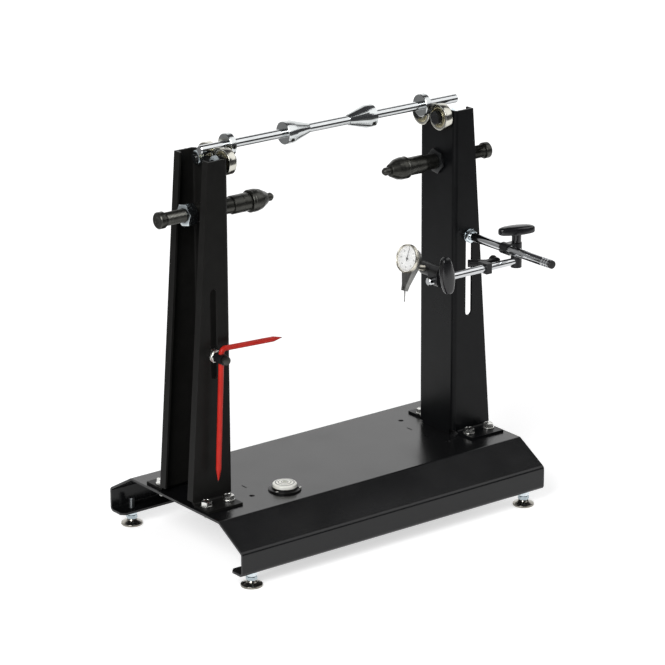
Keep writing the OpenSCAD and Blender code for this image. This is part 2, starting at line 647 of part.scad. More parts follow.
module indicator_face() {
  color([0.95, 0.95, 0.93]) dial_centre() difference() {
    translate([0, 0, 43]) cylinder(r = 17.36, h = 1.2, $fn = 96);
    translate([0, 0, 42]) cylinder(r = 1.4, h = 4, $fn = 32);
  }
}
module indicator_needle() {
  color([0.08, 0.08, 0.08]) dial_centre() {
    translate([0, 0, 39.5]) cylinder(r = 0.8, h = 6, $fn = 32);
    translate([0, 0, 45]) cylinder(r = 1.6, h = 0.9, $fn = 48);
    translate([0, 0, 45.1]) linear_extrude(0.5) polygon([[-3.5, -0.4], [14, -0.12], [14, 0.12], [-3.5, 0.4]]);
  }
}
module indicator_stylus() {
  color([0.75, 0.75, 0.75]) dial_centre() translate([-39, 0, 37]) rotate([0, -15, 0]) {
    rotate([90, 0, 0]) translate([0, 0, -1.2]) cylinder(r = 2, h = 2.4, $fn = 48);
    rotate([90, 0, 0]) translate([0, 0, -3.3]) cylinder(r = 0.7, h = 6.6, $fn = 32);
    rotate([0, -90, 0]) cylinder(r1 = 1, r2 = 0.5, h = 16.4, $fn = 32);
    translate([-16.8, 0, 0]) sphere(r = 1, $fn = 32);
  }
}

base_plate();
left_post();
right_post();
post_bolts();
post_washers();
m8_hex_nuts();
bearing_bolts();
bearing_spacers();
bearing_nuts();
bearing_inner_rings();
bearing_balls();
bearing_outer_lf();
bearing_outer_lb();
bearing_outer_rf();
bearing_outer_rb();
balancing_shaft();
left_stop_collar();
left_collar_screw();
right_stop_collar();
right_collar_screw();
left_centring_cone();
left_cone_screw();
right_centring_cone();
right_cone_screw();
truing_bushes();
truing_lock_nuts();
left_truing_spindle();
left_truing_cone();
right_truing_spindle();
right_truing_cone();
level_housing();
level_vial();
level_screws();
foot_front_left();
foot_front_right();
foot_back_left();
foot_back_right();
pointer_stud();
pointer_stud_nut();
pointer_clamp_block();
pointer_thumb_screw();
pointer_rod();
indicator_rod();
indicator_rod_nuts();
indicator_rod_cap();
rod_clamp_block();
arm_clamp_block();
clamp_knob();
arm_rod();
stem_holder_block();
stem_holder_screw();
end_clamp_block();
end_clamp_knob();
stem_jaw();
indicator_stem();
indicator_body();
indicator_bezel();
indicator_face();
indicator_needle();
indicator_stylus();
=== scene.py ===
import bpy
import bmesh
import json
import math
from mathutils import Matrix, Vector


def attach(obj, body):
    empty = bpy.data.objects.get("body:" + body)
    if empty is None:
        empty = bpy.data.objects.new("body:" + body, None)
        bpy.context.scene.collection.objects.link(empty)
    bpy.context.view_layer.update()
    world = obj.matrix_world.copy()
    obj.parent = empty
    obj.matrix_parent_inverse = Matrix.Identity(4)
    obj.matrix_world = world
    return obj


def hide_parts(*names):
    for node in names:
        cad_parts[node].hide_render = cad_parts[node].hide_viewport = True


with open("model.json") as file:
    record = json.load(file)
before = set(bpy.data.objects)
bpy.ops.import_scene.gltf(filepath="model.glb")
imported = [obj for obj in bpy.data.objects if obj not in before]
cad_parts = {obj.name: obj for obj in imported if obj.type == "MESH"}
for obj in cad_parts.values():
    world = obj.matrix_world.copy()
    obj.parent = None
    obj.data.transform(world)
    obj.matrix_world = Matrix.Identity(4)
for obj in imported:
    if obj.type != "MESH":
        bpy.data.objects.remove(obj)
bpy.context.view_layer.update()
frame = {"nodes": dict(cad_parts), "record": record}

MM = 0.001
TAU = 2 * math.pi
nodes = frame["nodes"]
behaviour = frame["record"]["behaviour"]
BODY = {n: b for b, ns in behaviour["bodies"].items() for n in ns}
scene = bpy.context.scene


# ------------------------------------------------------------------ placing
def tr(x, y, z):
    return Matrix.Translation((x, y, z))


def ro(a, b, c):
    return (Matrix.Rotation(math.radians(c), 4, "Z") @ Matrix.Rotation(math.radians(b), 4, "Y")
            @ Matrix.Rotation(math.radians(a), 4, "X"))


def along_x(x, y, z, rot=0):      # local Z to +X
    return tr(x, y, z) @ ro(0, 90, 0) @ ro(0, 0, rot)


def along_mx(x, y, z, rot=0):     # local Z to -X
    return tr(x, y, z) @ ro(0, -90, 0) @ ro(0, 0, rot)


def along_my(x, y, z, rot=0):     # local Z to -Y
    return tr(x, y, z) @ ro(90, 0, 0) @ ro(0, 0, rot)


def along_py(x, y, z, rot=0):     # local Z to +Y
    return tr(x, y, z) @ ro(-90, 0, 0) @ ro(0, 0, rot)


# ------------------------------------------------------------------ mesh code
class Shape:
    """Collects rings and faces in millimetres and becomes one mesh object."""

    def __init__(self):
        self.v, self.f, self.m = [], [], []

    def add(self, verts, faces, place=None, mi=0):
        o = len(self.v)
        for p in verts:
            p = Vector(p)
            self.v.append((place @ p) if place is not None else p)
        for f in faces:
            self.f.append(tuple(i + o for i in f))
            self.m.append(mi)

    def loft(self, rings, place=None, closed=False, cap=(True, True), mi=0):
        """rings with the same number of points each; a ring of one point is a pole"""
        verts, start = [], []
        for r in rings:
            start.append(len(verts))
            verts += r
        faces = []
        pairs = list(zip(range(len(rings) - 1), range(1, len(rings))))
        if closed:
            pairs.append((len(rings) - 1, 0))
        for a, b in pairs:
            na, nb = len(rings[a]), len(rings[b])
            n = max(na, nb)
            for i in range(n):
                j = (i + 1) % n
                if na == 1 and nb > 1:
                    faces.append((start[a], start[b] + j, start[b] + i))
                elif nb == 1 and na > 1:
                    faces.append((start[a] + i, start[a] + j, start[b]))
                elif na > 1:
                    faces.append((start[a] + i, start[a] + j, start[b] + j, start[b] + i))
        if not closed:
            if cap[0] and len(rings[0]) > 1:
                faces.append(tuple(range(start[0], start[0] + len(rings[0])))[::-1])
            if cap[1] and len(rings[-1]) > 1:
                faces.append(tuple(range(start[-1], start[-1] + len(rings[-1]))))
        self.add(verts, faces, place, mi)

    def lathe(self, prof, place=None, n=96, closed=False, mi=0):
        rings = []
        for r, z in prof:
            if r < 1e-6:
                rings.append([(0, 0, z)])
            else:
                rings.append([(r * math.cos(TAU * i / n), r * math.sin(TAU * i / n), z) for i in range(n)])
        self.loft(rings, place, closed, mi=mi)

    def box(self, lo, hi, r=0.4, place=None, mi=0):
        """a block with rounded edges"""
        bm = bmesh.new()
        bmesh.ops.create_cube(bm, size=1)
        for p in bm.verts:
            for k in range(3):
                p.co[k] = lo[k] if p.co[k] < 0 else hi[k]
        if r > 0:
            bmesh.ops.bevel(bm, geom=list(bm.edges), offset=r, segments=2, profile=0.5, affect="EDGES")
        bm.verts.index_update()
        self.add([v.co.copy() for v in bm.verts], [[v.index for v in f.verts] for f in bm.faces], place, mi)
        bm.free()

    def build(self, name, mats, body, replaces=(), slot=None, angle=32):
        me = bpy.data.meshes.new(name)
        me.from_pydata([tuple(p * MM) for p in self.v], [], self.f)
        me.validate()
        for m in (mats if isinstance(mats, (list, tuple)) else [mats]):
            me.materials.append(m)
        if len(me.polygons) == len(self.m):
            me.polygons.foreach_set("material_index", self.m)
        bm = bmesh.new()
        bm.from_mesh(me)
        bmesh.ops.recalc_face_normals(bm, faces=bm.faces)
        bm.to_mesh(me)
        bm.free()
        me.polygons.foreach_set("use_smooth", [True] * len(me.polygons))
        me.set_sharp_from_angle(angle=math.radians(angle))
        o = bpy.data.objects.new(name, me)
        scene.collection.objects.link(o)
        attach(o, body)
        if replaces:
            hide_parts(*([replaces] if isinstance(replaces, str) else replaces))
        return o


def fillet(pts, r=0.35, n=3, closed=False):
    """rounds the corners of a 2D outline; a point may give its own radius"""
    out = []
    m = len(pts)
    for i in range(m):
        p = Vector(pts[i][:2])
        rad = pts[i][2] if len(pts[i]) > 2 else r
        if (not closed and i in (0, m - 1)) or rad <= 0:
            out.append((p.x, p.y))
            continue
        a, b = Vector(pts[i - 1][:2]) - p, Vector(pts[(i + 1) % m][:2]) - p
        if a.length < 1e-9 or b.length < 1e-9:
            continue
        ang = a.angle(b)
        if ang > math.radians(176):
            out.append((p.x, p.y))
            continue
        t = min(rad / math.tan(ang / 2), 0.48 * a.length, 0.48 * b.length)
        rr = t * math.tan(ang / 2)
        au, bu = a.normalized(), b.normalized()
        c = p + (au + bu).normalized() * (rr / math.sin(ang / 2))
        s, e = p + au * t - c, p + bu * t - c
        sweep = s.angle_signed(e)
        for k in range(n + 1):
            th = -sweep * k / n
            out.append((c.x + s.x * math.cos(th) - s.y * math.sin(th), c.y + s.x * math.sin(th) + s.y * math.cos(th)))
    return out


def hex_r(af, th):
    return af / 2 / math.cos(math.fmod(th, math.radians(60)) - math.radians(30))


def hex_prism(S, af, h, place, bore=0.0, both=True, n=96, mi=0, top_dip=0.0):
    """hexagon head or nut whose corners are turned off at about 30 degrees"""
    rc = af / 2 * 0.955
    th = [TAU * i / n for i in range(n)]
    R = [hex_r(af, t + 1e-9) for t in th]
    ch = [(x - rc) * math.tan(math.radians(28)) for x in R]

    def ring(rs, zs):
        return [(r * math.cos(t), r * math.sin(t), z) for r, t, z in zip(rs, th, zs)]
    low = ch if both else [0.15] * n
    rings = [ring([rc if both else x - 0.15 for x in R], [0] * n), ring(R, [c + 0.02 for c in low]),
             ring(R, [h - c - 0.02 for c in ch]), ring([rc] * n, [h] * n)]
    if bore > 0:
        b = bore
        rings = ([ring([b] * n, [0.55] * n), ring([b + 0.55] * n, [0] * n)] + rings
                 + [ring([b + 0.55] * n, [h] * n), ring([b] * n, [h - 0.55] * n)])
        S.loft(rings, place, closed=True, mi=mi)
    else:
        rings.append(ring([rc * 0.86] * n, [h] * n))
        rings.append(ring([rc * 0.82] * n, [h - top_dip] * n))
        rings = [[(0, 0, 0)]] + rings + [[(0, 0, h - top_dip)]]
        S.loft(rings, place, mi=mi)


def thread(S, r, pitch, depth, z0, z1, place, n=40, mi=0, step=7, end=0.8):
    """a helical thread between z0 and z1, faded and chamfered at its ends"""
    nz = max(6, int((z1 - z0) / pitch * step))
    rings = []
    for k in range(nz + 1):
        z = z0 + (z1 - z0) * k / nz
        ring = []
        for i in range(n):
            ph = ((z / pitch) - i / n) % 1.0
            d = depth * (1 - abs(2 * ph - 1)) ** 0.9
            e = min(z - z0, z1 - z)
            rr = r - d
            if e < end:
                rr = min(rr, r - depth * 1.05 + (depth * 1.05) * e / end)
            ring.append((rr * math.cos(TAU * i / n), rr * math.sin(TAU * i / n), z))
        rings.append(ring)
    S.loft(rings, place, mi=mi)


def knurl(S, r, z0, z1, place, count=36, depth=0.35, n=None, edge=0.5, mi=0, bore=0):
    """a round head with straight ribs and rounded rims"""
    n = n or count * 6
    zs = [(z0, r - edge - 0.25, 0), (z0 + edge * 0.35, r - edge * 0.4, 0.3), (z0 + edge, r, 1), (z1 - edge, r, 1),
          (z1 - edge * 0.35, r - edge * 0.4, 0.3), (z1, r - edge - 0.25, 0)]
    rings = []
    for z, rr, w in zs:
        rings.append([((rr - w * depth * (0.5 - 0.5 * math.cos(count * TAU * i / n)) ** 1.5) * math.cos(TAU * i / n),
                       (rr - w * depth * (0.5 - 0.5 * math.cos(count * TAU * i / n)) ** 1.5) * math.sin(TAU * i / n), z)
                      for i in range(n)])
    rings = [[(0, 0, z0)]] + rings + [[(0, 0, z1)]]
    S.loft(rings, place, mi=mi)


# ------------------------------------------------------------------ materials
def new_mat(name, color, metallic, rough, ior=None, coat=0.0, coat_rough=0.05, spec=None):
    m = bpy.data.materials.new(name)
    m.use_nodes = True
    p = next(x for x in m.node_tree.nodes if x.type == "BSDF_PRINCIPLED")
    p.inputs["Base Color"].default_value = (*color, 1)
    p.inputs["Metallic"].default_value = metallic
    p.inputs["Roughness"].default_value = rough
    if ior:
        p.inputs["IOR"].default_value = ior
    if coat:
        p.inputs["Coat Weight"].default_value = coat
        p.inputs["Coat Roughness"].default_value = coat_rough
    if spec is not None:
        p.inputs["Specular IOR Level"].default_value = spec
    return m, m.node_tree, p


def coords(nt, scale=(1, 1, 1)):
    tc = nt.nodes.new("ShaderNodeTexCoord")
    mp = nt.nodes.new("ShaderNodeMapping")
    mp.inputs["Scale"].default_value = scale
    nt.links.new(tc.outputs["Object"], mp.inputs["Vector"])
    return mp.outputs["Vector"]


def noise(nt, vec, scale, detail=3.0, rough=0.55):
    x = nt.nodes.new("ShaderNodeTexNoise")
    x.inputs["Scale"].default_value = scale
    x.inputs["Detail"].default_value = detail
    x.inputs["Roughness"].default_value = rough
    nt.links.new(vec, x.inputs["Vector"])
    return x.outputs["Fac"]


def ramp(nt, fac, stops):
    r = nt.nodes.new("ShaderNodeValToRGB")
    while len(r.color_ramp.elements) < len(stops):
        r.color_ramp.elements.new(0.5)
    for e, (pos, col) in zip(r.color_ramp.elements, stops):
        e.position = pos
        e.color = (*col, 1) if len(col) == 3 else col
    nt.links.new(fac, r.inputs["Fac"])
    return r.outputs["Color"]


def span(nt, fac, lo, hi, a=0.3, b=0.7):
    x = nt.nodes.new("ShaderNodeMapRange")
    x.inputs["From Min"].default_value = a
    x.inputs["From Max"].default_value = b
    x.inputs["To Min"].default_value = lo
    x.inputs["To Max"].default_value = hi
    nt.links.new(fac, x.inputs["Value"])
    return x.outputs["Result"]


def bump(nt, height, strength, dist, normal=None):
    b = nt.nodes.new("ShaderNodeBump")
    b.inputs["Strength"].default_value = strength
    b.inputs["Distance"].default_value = dist
    nt.links.new(height, b.inputs["Height"])
    if normal is not None:
        nt.links.new(normal, b.inputs["Normal"])
    return b.outputs["Normal"]


def powder(name, dark, light, r0, r1, grain=1500, bump_s=0.10, spec=None):
    m, nt, p = new_mat(name, dark, 0.0, r0, ior=1.5, spec=spec)
    v = coords(nt)
    nt.links.new(ramp(nt, noise(nt, v, 55, 4), [(0.3, dark), (0.7, light)]), p.inputs["Base Color"])
    nt.links.new(span(nt, noise(nt, v, 18, 3), r0, r1), p.inputs["Roughness"])
    wave = bump(nt, noise(nt, v, 260, 2), 0.05, 0.0004)
    nt.links.new(bump(nt, noise(nt, v, grain, 2), bump_s, 0.00012, wave), p.inputs["Normal"])
    return m


def metal(name, c0, c1, r0, r1, axis=None, rings=2600, ring_s=0.12, blotch=40, metallic=1.0):
    """steel: colour and gloss vary softly; with an axis it has fine turning marks round it"""
    m, nt, p = new_mat(name, c0, metallic, r0)
    v = coords(nt)
    nt.links.new(ramp(nt, noise(nt, v, blotch, 4), [(0.3, c0), (0.7, c1)]), p.inputs["Base Color"])
    nt.links.new(span(nt, noise(nt, v, blotch * 3.1, 3), r0, r1), p.inputs["Roughness"])
    if axis is not None:
        big = [max(abs(a), 0.004) * rings for a in axis]
        vv = coords(nt, tuple(big))
        nt.links.new(bump(nt, noise(nt, vv, 1.0, 2, 0.7), ring_s, 0.00008), p.inputs["Normal"])
    else:
        nt.links.new(bump(nt, noise(nt, v, 1800, 2), ring_s * 0.6, 0.00008), p.inputs["Normal"])
    return m


def plastic(name, c0, c1, r0, r1, grain=2600, bump_s=0.12):
    m, nt, p = new_mat(name, c0, 0.0, r0, ior=1.48)
    v = coords(nt)
    nt.links.new(ramp(nt, noise(nt, v, 90, 3), [(0.3, c0), (0.7, c1)]), p.inputs["Base Color"])
    nt.links.new(span(nt, noise(nt, v, 45, 3), r0, r1), p.inputs["Roughness"])
    nt.links.new(bump(nt, noise(nt, v, grain, 1), bump_s, 0.00008), p.inputs["Normal"])
    return m


M_BASE = powder("powder_coat_base", (0.0040, 0.0041, 0.0045), (0.0056, 0.0058, 0.0063), 0.20, 0.27, spec=0.33)
M_POST = powder("powder_coat_post", (0.0030, 0.0032, 0.0036), (0.0042, 0.0045, 0.0051), 0.26, 0.34, spec=0.13)
# the left post wears the same black powder coat as the right, made about three times lighter as painted light on its
# shaded open channel
M_POST_LEFT_PAINTED_LIGHT = powder("powder_coat_left_painted_light", (0.0088, 0.0087, 0.0082), (0.0112, 0.0110, 0.0104), 0.30, 0.40, spec=0.06)
M_ZINC = metal("zinc_bright", (0.62, 0.62, 0.59), (0.74, 0.74, 0.72), 0.20, 0.32, blotch=120)
M_ZINC_FOOT = metal("zinc_foot", (0.21, 0.20, 0.175), (0.32, 0.305, 0.27), 0.14, 0.24, axis=(0.02, 0.02, 1), blotch=140)
M_BLUE_ZINC = metal("zinc_nut_blue", (0.56, 0.64, 0.68), (0.70, 0.75, 0.77), 0.16, 0.28, blotch=160)
M_SHAFT = metal("ground_shaft", (0.50, 0.515, 0.52), (0.58, 0.595, 0.60), 0.07, 0.12, axis=(1, 0.02, 0.02), rings=3000)
M_CONE = metal("turned_cone", (0.48, 0.50, 0.50), (0.58, 0.60, 0.60), 0.12, 0.20, axis=(1, 0.02, 0.02), rings=1900, ring_s=0.35)
M_STUD = metal("foot_stud_zinc", (0.11, 0.115, 0.12), (0.19, 0.20, 0.205), 0.32, 0.44, blotch=140)
M_FOOT_NUT = metal("foot_nut_zinc", (0.30, 0.36, 0.39), (0.44, 0.50, 0.53), 0.16, 0.28, blotch=120)
M_ROD_Y = metal("chromed_rod_front", (0.52, 0.53, 0.54), (0.60, 0.61, 0.62), 0.05, 0.10, axis=(0.02, 1, 0.02), rings=3000)
M_ROD_X = metal("chromed_rod_arm", (0.50, 0.51, 0.52), (0.58, 0.59, 0.60), 0.05, 0.10, axis=(1, 0.02, 0.02), rings=3000)
M_STYLUS = metal("stylus_steel", (0.22, 0.22, 0.21), (0.30, 0.30, 0.29), 0.20, 0.30, blotch=200)
M_RING = metal("bearing_ring_steel", (0.50, 0.49, 0.43), (0.62, 0.61, 0.55), 0.16, 0.26, axis=(1, 0.02, 0.02), rings=2200)
M_SHIELD = metal("bearing_shield", (0.60, 0.54, 0.34), (0.72, 0.66, 0.45), 0.22, 0.34, blotch=90)
# the same shield metal made about three times darker, painted shade for the recessed inner band of the shields
M_SHIELD_PAINTED_SHADE = metal("bearing_shield_painted_shade", (0.19, 0.175, 0.11), (0.27, 0.25, 0.165), 0.26, 0.38, blotch=90)
M_BLACKENED = metal("blackened_steel", (0.043, 0.0435, 0.039), (0.073, 0.0735, 0.067), 0.28, 0.42, blotch=80, metallic=0.85)
M_BLACK_TURNED = metal("blackened_turned", (0.040, 0.040, 0.0355), (0.070, 0.0695, 0.063), 0.26, 0.38, axis=(1, 0.02, 0.02),
                       rings=1500, ring_s=0.3, blotch=70, metallic=0.85)
M_BLOCK = powder("black_clamp_block", (0.008, 0.008, 0.009), (0.012, 0.012, 0.013), 0.24, 0.36, grain=1800, spec=0.3)
M_BUSH = powder("black_bush_flange", (0.006, 0.0065, 0.007), (0.010, 0.0105, 0.011), 0.20, 0.30, grain=1500, spec=0.3)
M_KNOB = plastic("black_knob_plastic", (0.007, 0.007, 0.008), (0.011, 0.011, 0.012), 0.14, 0.22, bump_s=0.06)
M_CAP = plastic("black_cap_rubber", (0.006, 0.006, 0.006), (0.010, 0.010, 0.010), 0.5, 0.65)
M_DIAL_BODY = metal("satin_dial_body", (0.17, 0.17, 0.165), (0.23, 0.23, 0.22), 0.26, 0.38, blotch=150)
M_BEZEL = metal("satin_bezel", (0.66, 0.63, 0.54), (0.76, 0.73, 0.64), 0.24, 0.34, blotch=150)
M_FACE = plastic("dial_face_white", (0.88, 0.88, 0.87), (0.93, 0.93, 0.92), 0.40, 0.5, bump_s=0.03)
M_PRINT = plastic("dial_print_black", (0.012, 0.012, 0.012), (0.03, 0.03, 0.03), 0.45, 0.55, bump_s=0.03)
M_HOUSING = powder("level_flange_black", (0.0045, 0.0045, 0.0045), (0.0075, 0.0075, 0.0075), 0.24, 0.36, grain=2600, spec=0.2)

# red paint that ends where the points are ground bare
def red_paint():
    m, nt, p = new_mat("red_paint_satin", (0.46, 0.016, 0.009), 0.0, 0.34, ior=1.5, spec=0.22)
    v = coords(nt)
    nt.links.new(ramp(nt, noise(nt, v, 70, 4), [(0.3, (0.42, 0.013, 0.007)), (0.7, (0.49, 0.019, 0.011))]), p.inputs["Base Color"])
    nt.links.new(span(nt, noise(nt, v, 60, 3), 0.28, 0.40), p.inputs["Roughness"])
    nt.links.new(bump(nt, noise(nt, v, 1500, 2), 0.10, 0.0001), p.inputs["Normal"])
    return m


M_RED = red_paint()


def clear_mat(name, tint, rough=0.02):
    """thin clear plastic window, mostly seen through"""
    m, nt, p = new_mat(name, tint, 0.0, rough, ior=1.49)
    v = coords(nt)
    p.inputs["Alpha"].default_value = 0.07
    nt.links.new(span(nt, noise(nt, v, 120, 2), rough, rough + 0.05), p.inputs["Roughness"])
    nt.links.new(bump(nt, noise(nt, v, 300, 1), 0.03, 0.0001), p.inputs["Normal"])
    return m


M_CRYSTAL = clear_mat("dial_crystal", (0.96, 0.97, 0.96))
M_VIAL = plastic("level_vial_cream", (0.84, 0.84, 0.76), (0.92, 0.92, 0.86), 0.06, 0.14, bump_s=0.02)
M_VIAL_LINE = plastic("level_print", (0.022, 0.022, 0.018), (0.05, 0.05, 0.04), 0.3, 0.4, bump_s=0.02)
M_BUBBLE = plastic("level_bubble", (0.42, 0.44, 0.36), (0.52, 0.54, 0.45), 0.05, 0.1, bump_s=0.01)


def paint_node(node, mat):
    o = nodes[node]
    if not o.material_slots:
        o.data.materials.append(mat)
    for s in o.material_slots:
        s.material = mat


def refine(node, mat, width=0.35, segs=2, name=None, angle=35):
    """the node's own solid with its sharp edges broken, as the real sheet or block has them"""
    me = nodes[node].data.copy()
    me.name = name or node + "_broken_edges"
    bm = bmesh.new()
    bm.from_mesh(me)
    bmesh.ops.remove_doubles(bm, verts=bm.verts, dist=2e-6)
    bmesh.ops.dissolve_degenerate(bm, dist=1e-6, edges=bm.edges)
    bmesh.ops.dissolve_limit(bm, angle_limit=math.radians(0.6), verts=bm.verts, edges=bm.edges)
    bmesh.ops.recalc_face_normals(bm, faces=bm.faces)
    bm.to_mesh(me)
    bm.free()
    me.materials.clear()
    me.materials.append(mat)
    o = bpy.data.objects.new(me.name, me)
    scene.collection.objects.link(o)
    b = o.modifiers.new("edges", "BEVEL")
    b.width = width * MM
    b.segments = segs
    b.limit_method = "ANGLE"
    b.angle_limit = math.radians(angle)
    b.use_clamp_overlap = True
    b.harden_normals = False
    me.polygons.foreach_set("use_smooth", [True] * len(me.polygons))
    wn = o.modifiers.new("face_weighted", "WEIGHTED_NORMAL")
    wn.weight = 100
    wn.keep_sharp = True
    dg = bpy.context.evaluated_depsgraph_get()
    done = bpy.data.meshes.new_from_object(o.evaluated_get(dg))
    o.modifiers.clear()
    o.data = done
    done.name = me.name + "_m"
    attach(o, BODY[node])
    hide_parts(node)
    return o


# ------------------------------------------------------------------ camera
d = Vector((math.sin(math.radians(37.485)) * math.cos(math.radians(18.542)),
            math.cos(math.radians(37.485)) * math.cos(math.radians(18.542)), -math.sin(math.radians(18.542))))
r0 = Vector((math.cos(math.radians(37.485)), -math.sin(math.radians(37.485)), 0))
u0 = r0.cross(d)
roll = math.radians(-0.256)
right = math.cos(roll) * r0 + math.sin(roll) * u0
up = -math.sin(roll) * r0 + math.cos(roll) * u0
cam_data = bpy.data.cameras.new("camera")
cam = bpy.data.objects.new("camera", cam_data)
scene.collection.objects.link(cam)
cam_data.sensor_fit = "HORIZONTAL"
cam_data.sensor_width = 36.0
cam_data.lens = 3370.37 / 665 * 36.0
cam_data.clip_start = 0.1
cam_data.clip_end = 100
rot = Matrix((right, up, -d)).transposed().to_4x4()
cam.matrix_world = Matrix.Translation((-2.5422, -3.3245, 1.6589)) @ rot
scene.camera = cam

# ------------------------------------------------------------------ sheet metal
refine("base_plate", M_BASE, 0.45, 2, "base_sheet")
# the left post takes its lighter copy of the powder coat, which is painted light
refine("left_post", M_POST_LEFT_PAINTED_LIGHT, 0.45, 2, "left_post_sheet")
refine("right_post", M_POST, 0.45, 2, "right_post_sheet")

BX, BY = (200, 234), 50

# ------------------------------------------------------------------ fasteners of the frame
S = Shape()
W = Shape()
N = Shape()
F = N
k = 0
for sx in (-1, 1):
    for sy in (-1, 1):
        for x in BX:
            k += 1
            place = tr(sx * x, sy * BY, 0)
            hex_prism(S, 13, 5.3, place @ tr(0, 0, 85.6) @ ro(0, 0, x), both=False, top_dip=0.35)
            S.lathe(fillet([(0, 85.7), (3.99, 85.7), (3.99, 78), (0, 78)], 0.1), place, 40)
            thread(S, 3.99, 1.25, 0.62, 68, 78.2, place, 32)
            W.lathe(fillet([(4.2, 84.0), (8, 84.0), (8, 85.6), (4.2, 85.6)], 0.35, 2, True), place, 64, True)
            hex_prism(N, 13, 6.5, place @ tr(0, 0, 71.5), bore=4.05)
for sx in (-1, 1):
    for sy in (-1, 1):
        hex_prism(F, 13, 6.5, tr(sx * 226, sy * 134, 13.9) @ ro(0, 0, 20), bore=4.05, mi=1)
S.build("post_bolt_set", M_ZINC, "stand", "post_bolts", "zinc_plated_steel")
W.build("post_washer_set", M_ZINC, "stand", "post_washers", "zinc_plated_steel")
N.build("m8_nut_set", [M_ZINC, M_BLUE_ZINC], "stand", "m8_hex_nuts", "zinc_plated_steel")

# ------------------------------------------------------------------ bearings
BRX, BRY, BRZ = 174.5, 18.25, 537 - math.sqrt(23.6 ** 2 - 18.25 ** 2)
S, P, N = Shape(), Shape(), Shape()
R = Shape()
for sx in (-1, 1):
    for sy in (-1, 1):
        ax = along_x if sx > 0 else along_mx
        # head, plain neck and thread of the bolt, along its own axis from the wheel side
        hex_prism(S, 17, 5.6, (along_mx if sx > 0 else along_x)(sx * 168.2, sy * BRY, BRZ), both=False, top_dip=0.4)
        S.lathe(fillet([(0, 168), (7.5, 168), (7.5, 169), (5, 169, 0), (5, 184), (0, 184)], 0.15), ax(0, sy * BRY, BRZ), 64)
        thread(S, 5.0, 1.5, 0.75, 184, 197, ax(0, sy * BRY, BRZ), 36)
        P.lathe(fillet([(5.06, 180), (8, 180), (8, 183), (5.06, 183)], 0.3, 2, True), ax(0, sy * BRY, BRZ), 64, True)
        hex_prism(N, 17, 8.4, ax(sx * 186, sy * BRY, BRZ, 12), bore=5.06)
        # inner ring with its raceway
        R.lathe(fillet([(5.06, -5.5), (8.95, -5.5), (8.95, -2.6, 0.2), (8.3, -1.2, 0.4), (8.1, 0, 0.6), (8.3, 1.2, 0.4),
                        (8.95, 2.6, 0.2), (8.95, 5.5), (5.06, 5.5)], 0.3, 2, True),
                tr(sx * BRX, sy * BRY, BRZ) @ ro(0, 90, 0), 96, True)
S.build("bearing_bolt_set", M_BUSH, "stand", "bearing_bolts", "black_oxide_steel")
P.build("bearing_spacer_set", M_ZINC, "stand", "bearing_spacers", "zinc_plated_steel")
N.build("bearing_nut_set", M_BLUE_ZINC, "stand", "bearing_nuts", "zinc_plated_steel")
R.build("bearing_inner_set", M_RING, "stand", "bearing_inner_rings", "bearing_steel")
paint_node("bearing_balls", M_ROD_X)
for nm, sx, sy in (("lf", -1, -1), ("lb", -1, 1), ("rf", 1, -1), ("rb", 1, 1)):
    S = Shape()
    place = tr(sx * BRX, sy * BRY, BRZ) @ ro(0, 90, 0)
    # ring body
    S.lathe(fillet([(13.75, -5.1, 0.1), (13.75, -5.5, 0.25), (17.5, -5.5, 0.9), (17.5, 5.5, 0.9), (13.75, 5.5, 0.25),
                    (13.75, 5.1, 0.1), (14.6, 4.2, 0.2), (14.3, 0, 0.5), (14.6, -4.2, 0.2)], 0.3, 3, True), place, 120, True)
    # pressed shields with a step and a rolled inner rim; the rim and recessed inner band are drawn in a darker copy of
    # the shield metal as painted shade
    for s in (-1, 1):
        prof = [(11.9, s * 4.5), (11.9, s * 5.0), (12.3, s * 5.25), (12.9, s * 5.25), (13.3, s * 4.95),
                (13.7, s * 4.95), (13.7, s * 4.5)]
        S.lathe(fillet(prof, 0.12, 2, True), place, 120, True, mi=1)
        prof = [(9.30, s * 4.3), (9.30, s * 5.0), (9.9, s * 5.12), (10.3, s * 4.7), (12.1, s * 4.7), (12.1, s * 4.3)]
        S.lathe(fillet(prof, 0.15, 2, True), place, 120, True, mi=2)
    S.build("bearing_" + nm + "_ring", [M_RING, M_SHIELD, M_SHIELD_PAINTED_SHADE], "bearing_" + nm, "bearing_outer_" + nm, "bearing_steel")

# ------------------------------------------------------------------ shaft, collars, cones
paint_node("balancing_shaft", M_SHAFT)
for n_ in ("left_stop_collar", "right_stop_collar"):
    refine(n_, M_CONE, 0.3, 2)
for n_ in ("left_centring_cone", "right_centring_cone"):
    refine(n_, M_CONE, 0.35, 3)
for n_ in ("left_collar_screw", "right_collar_screw", "left_cone_screw", "right_cone_screw"):
    refine(n_, M_BLACKENED, 0.15, 2)

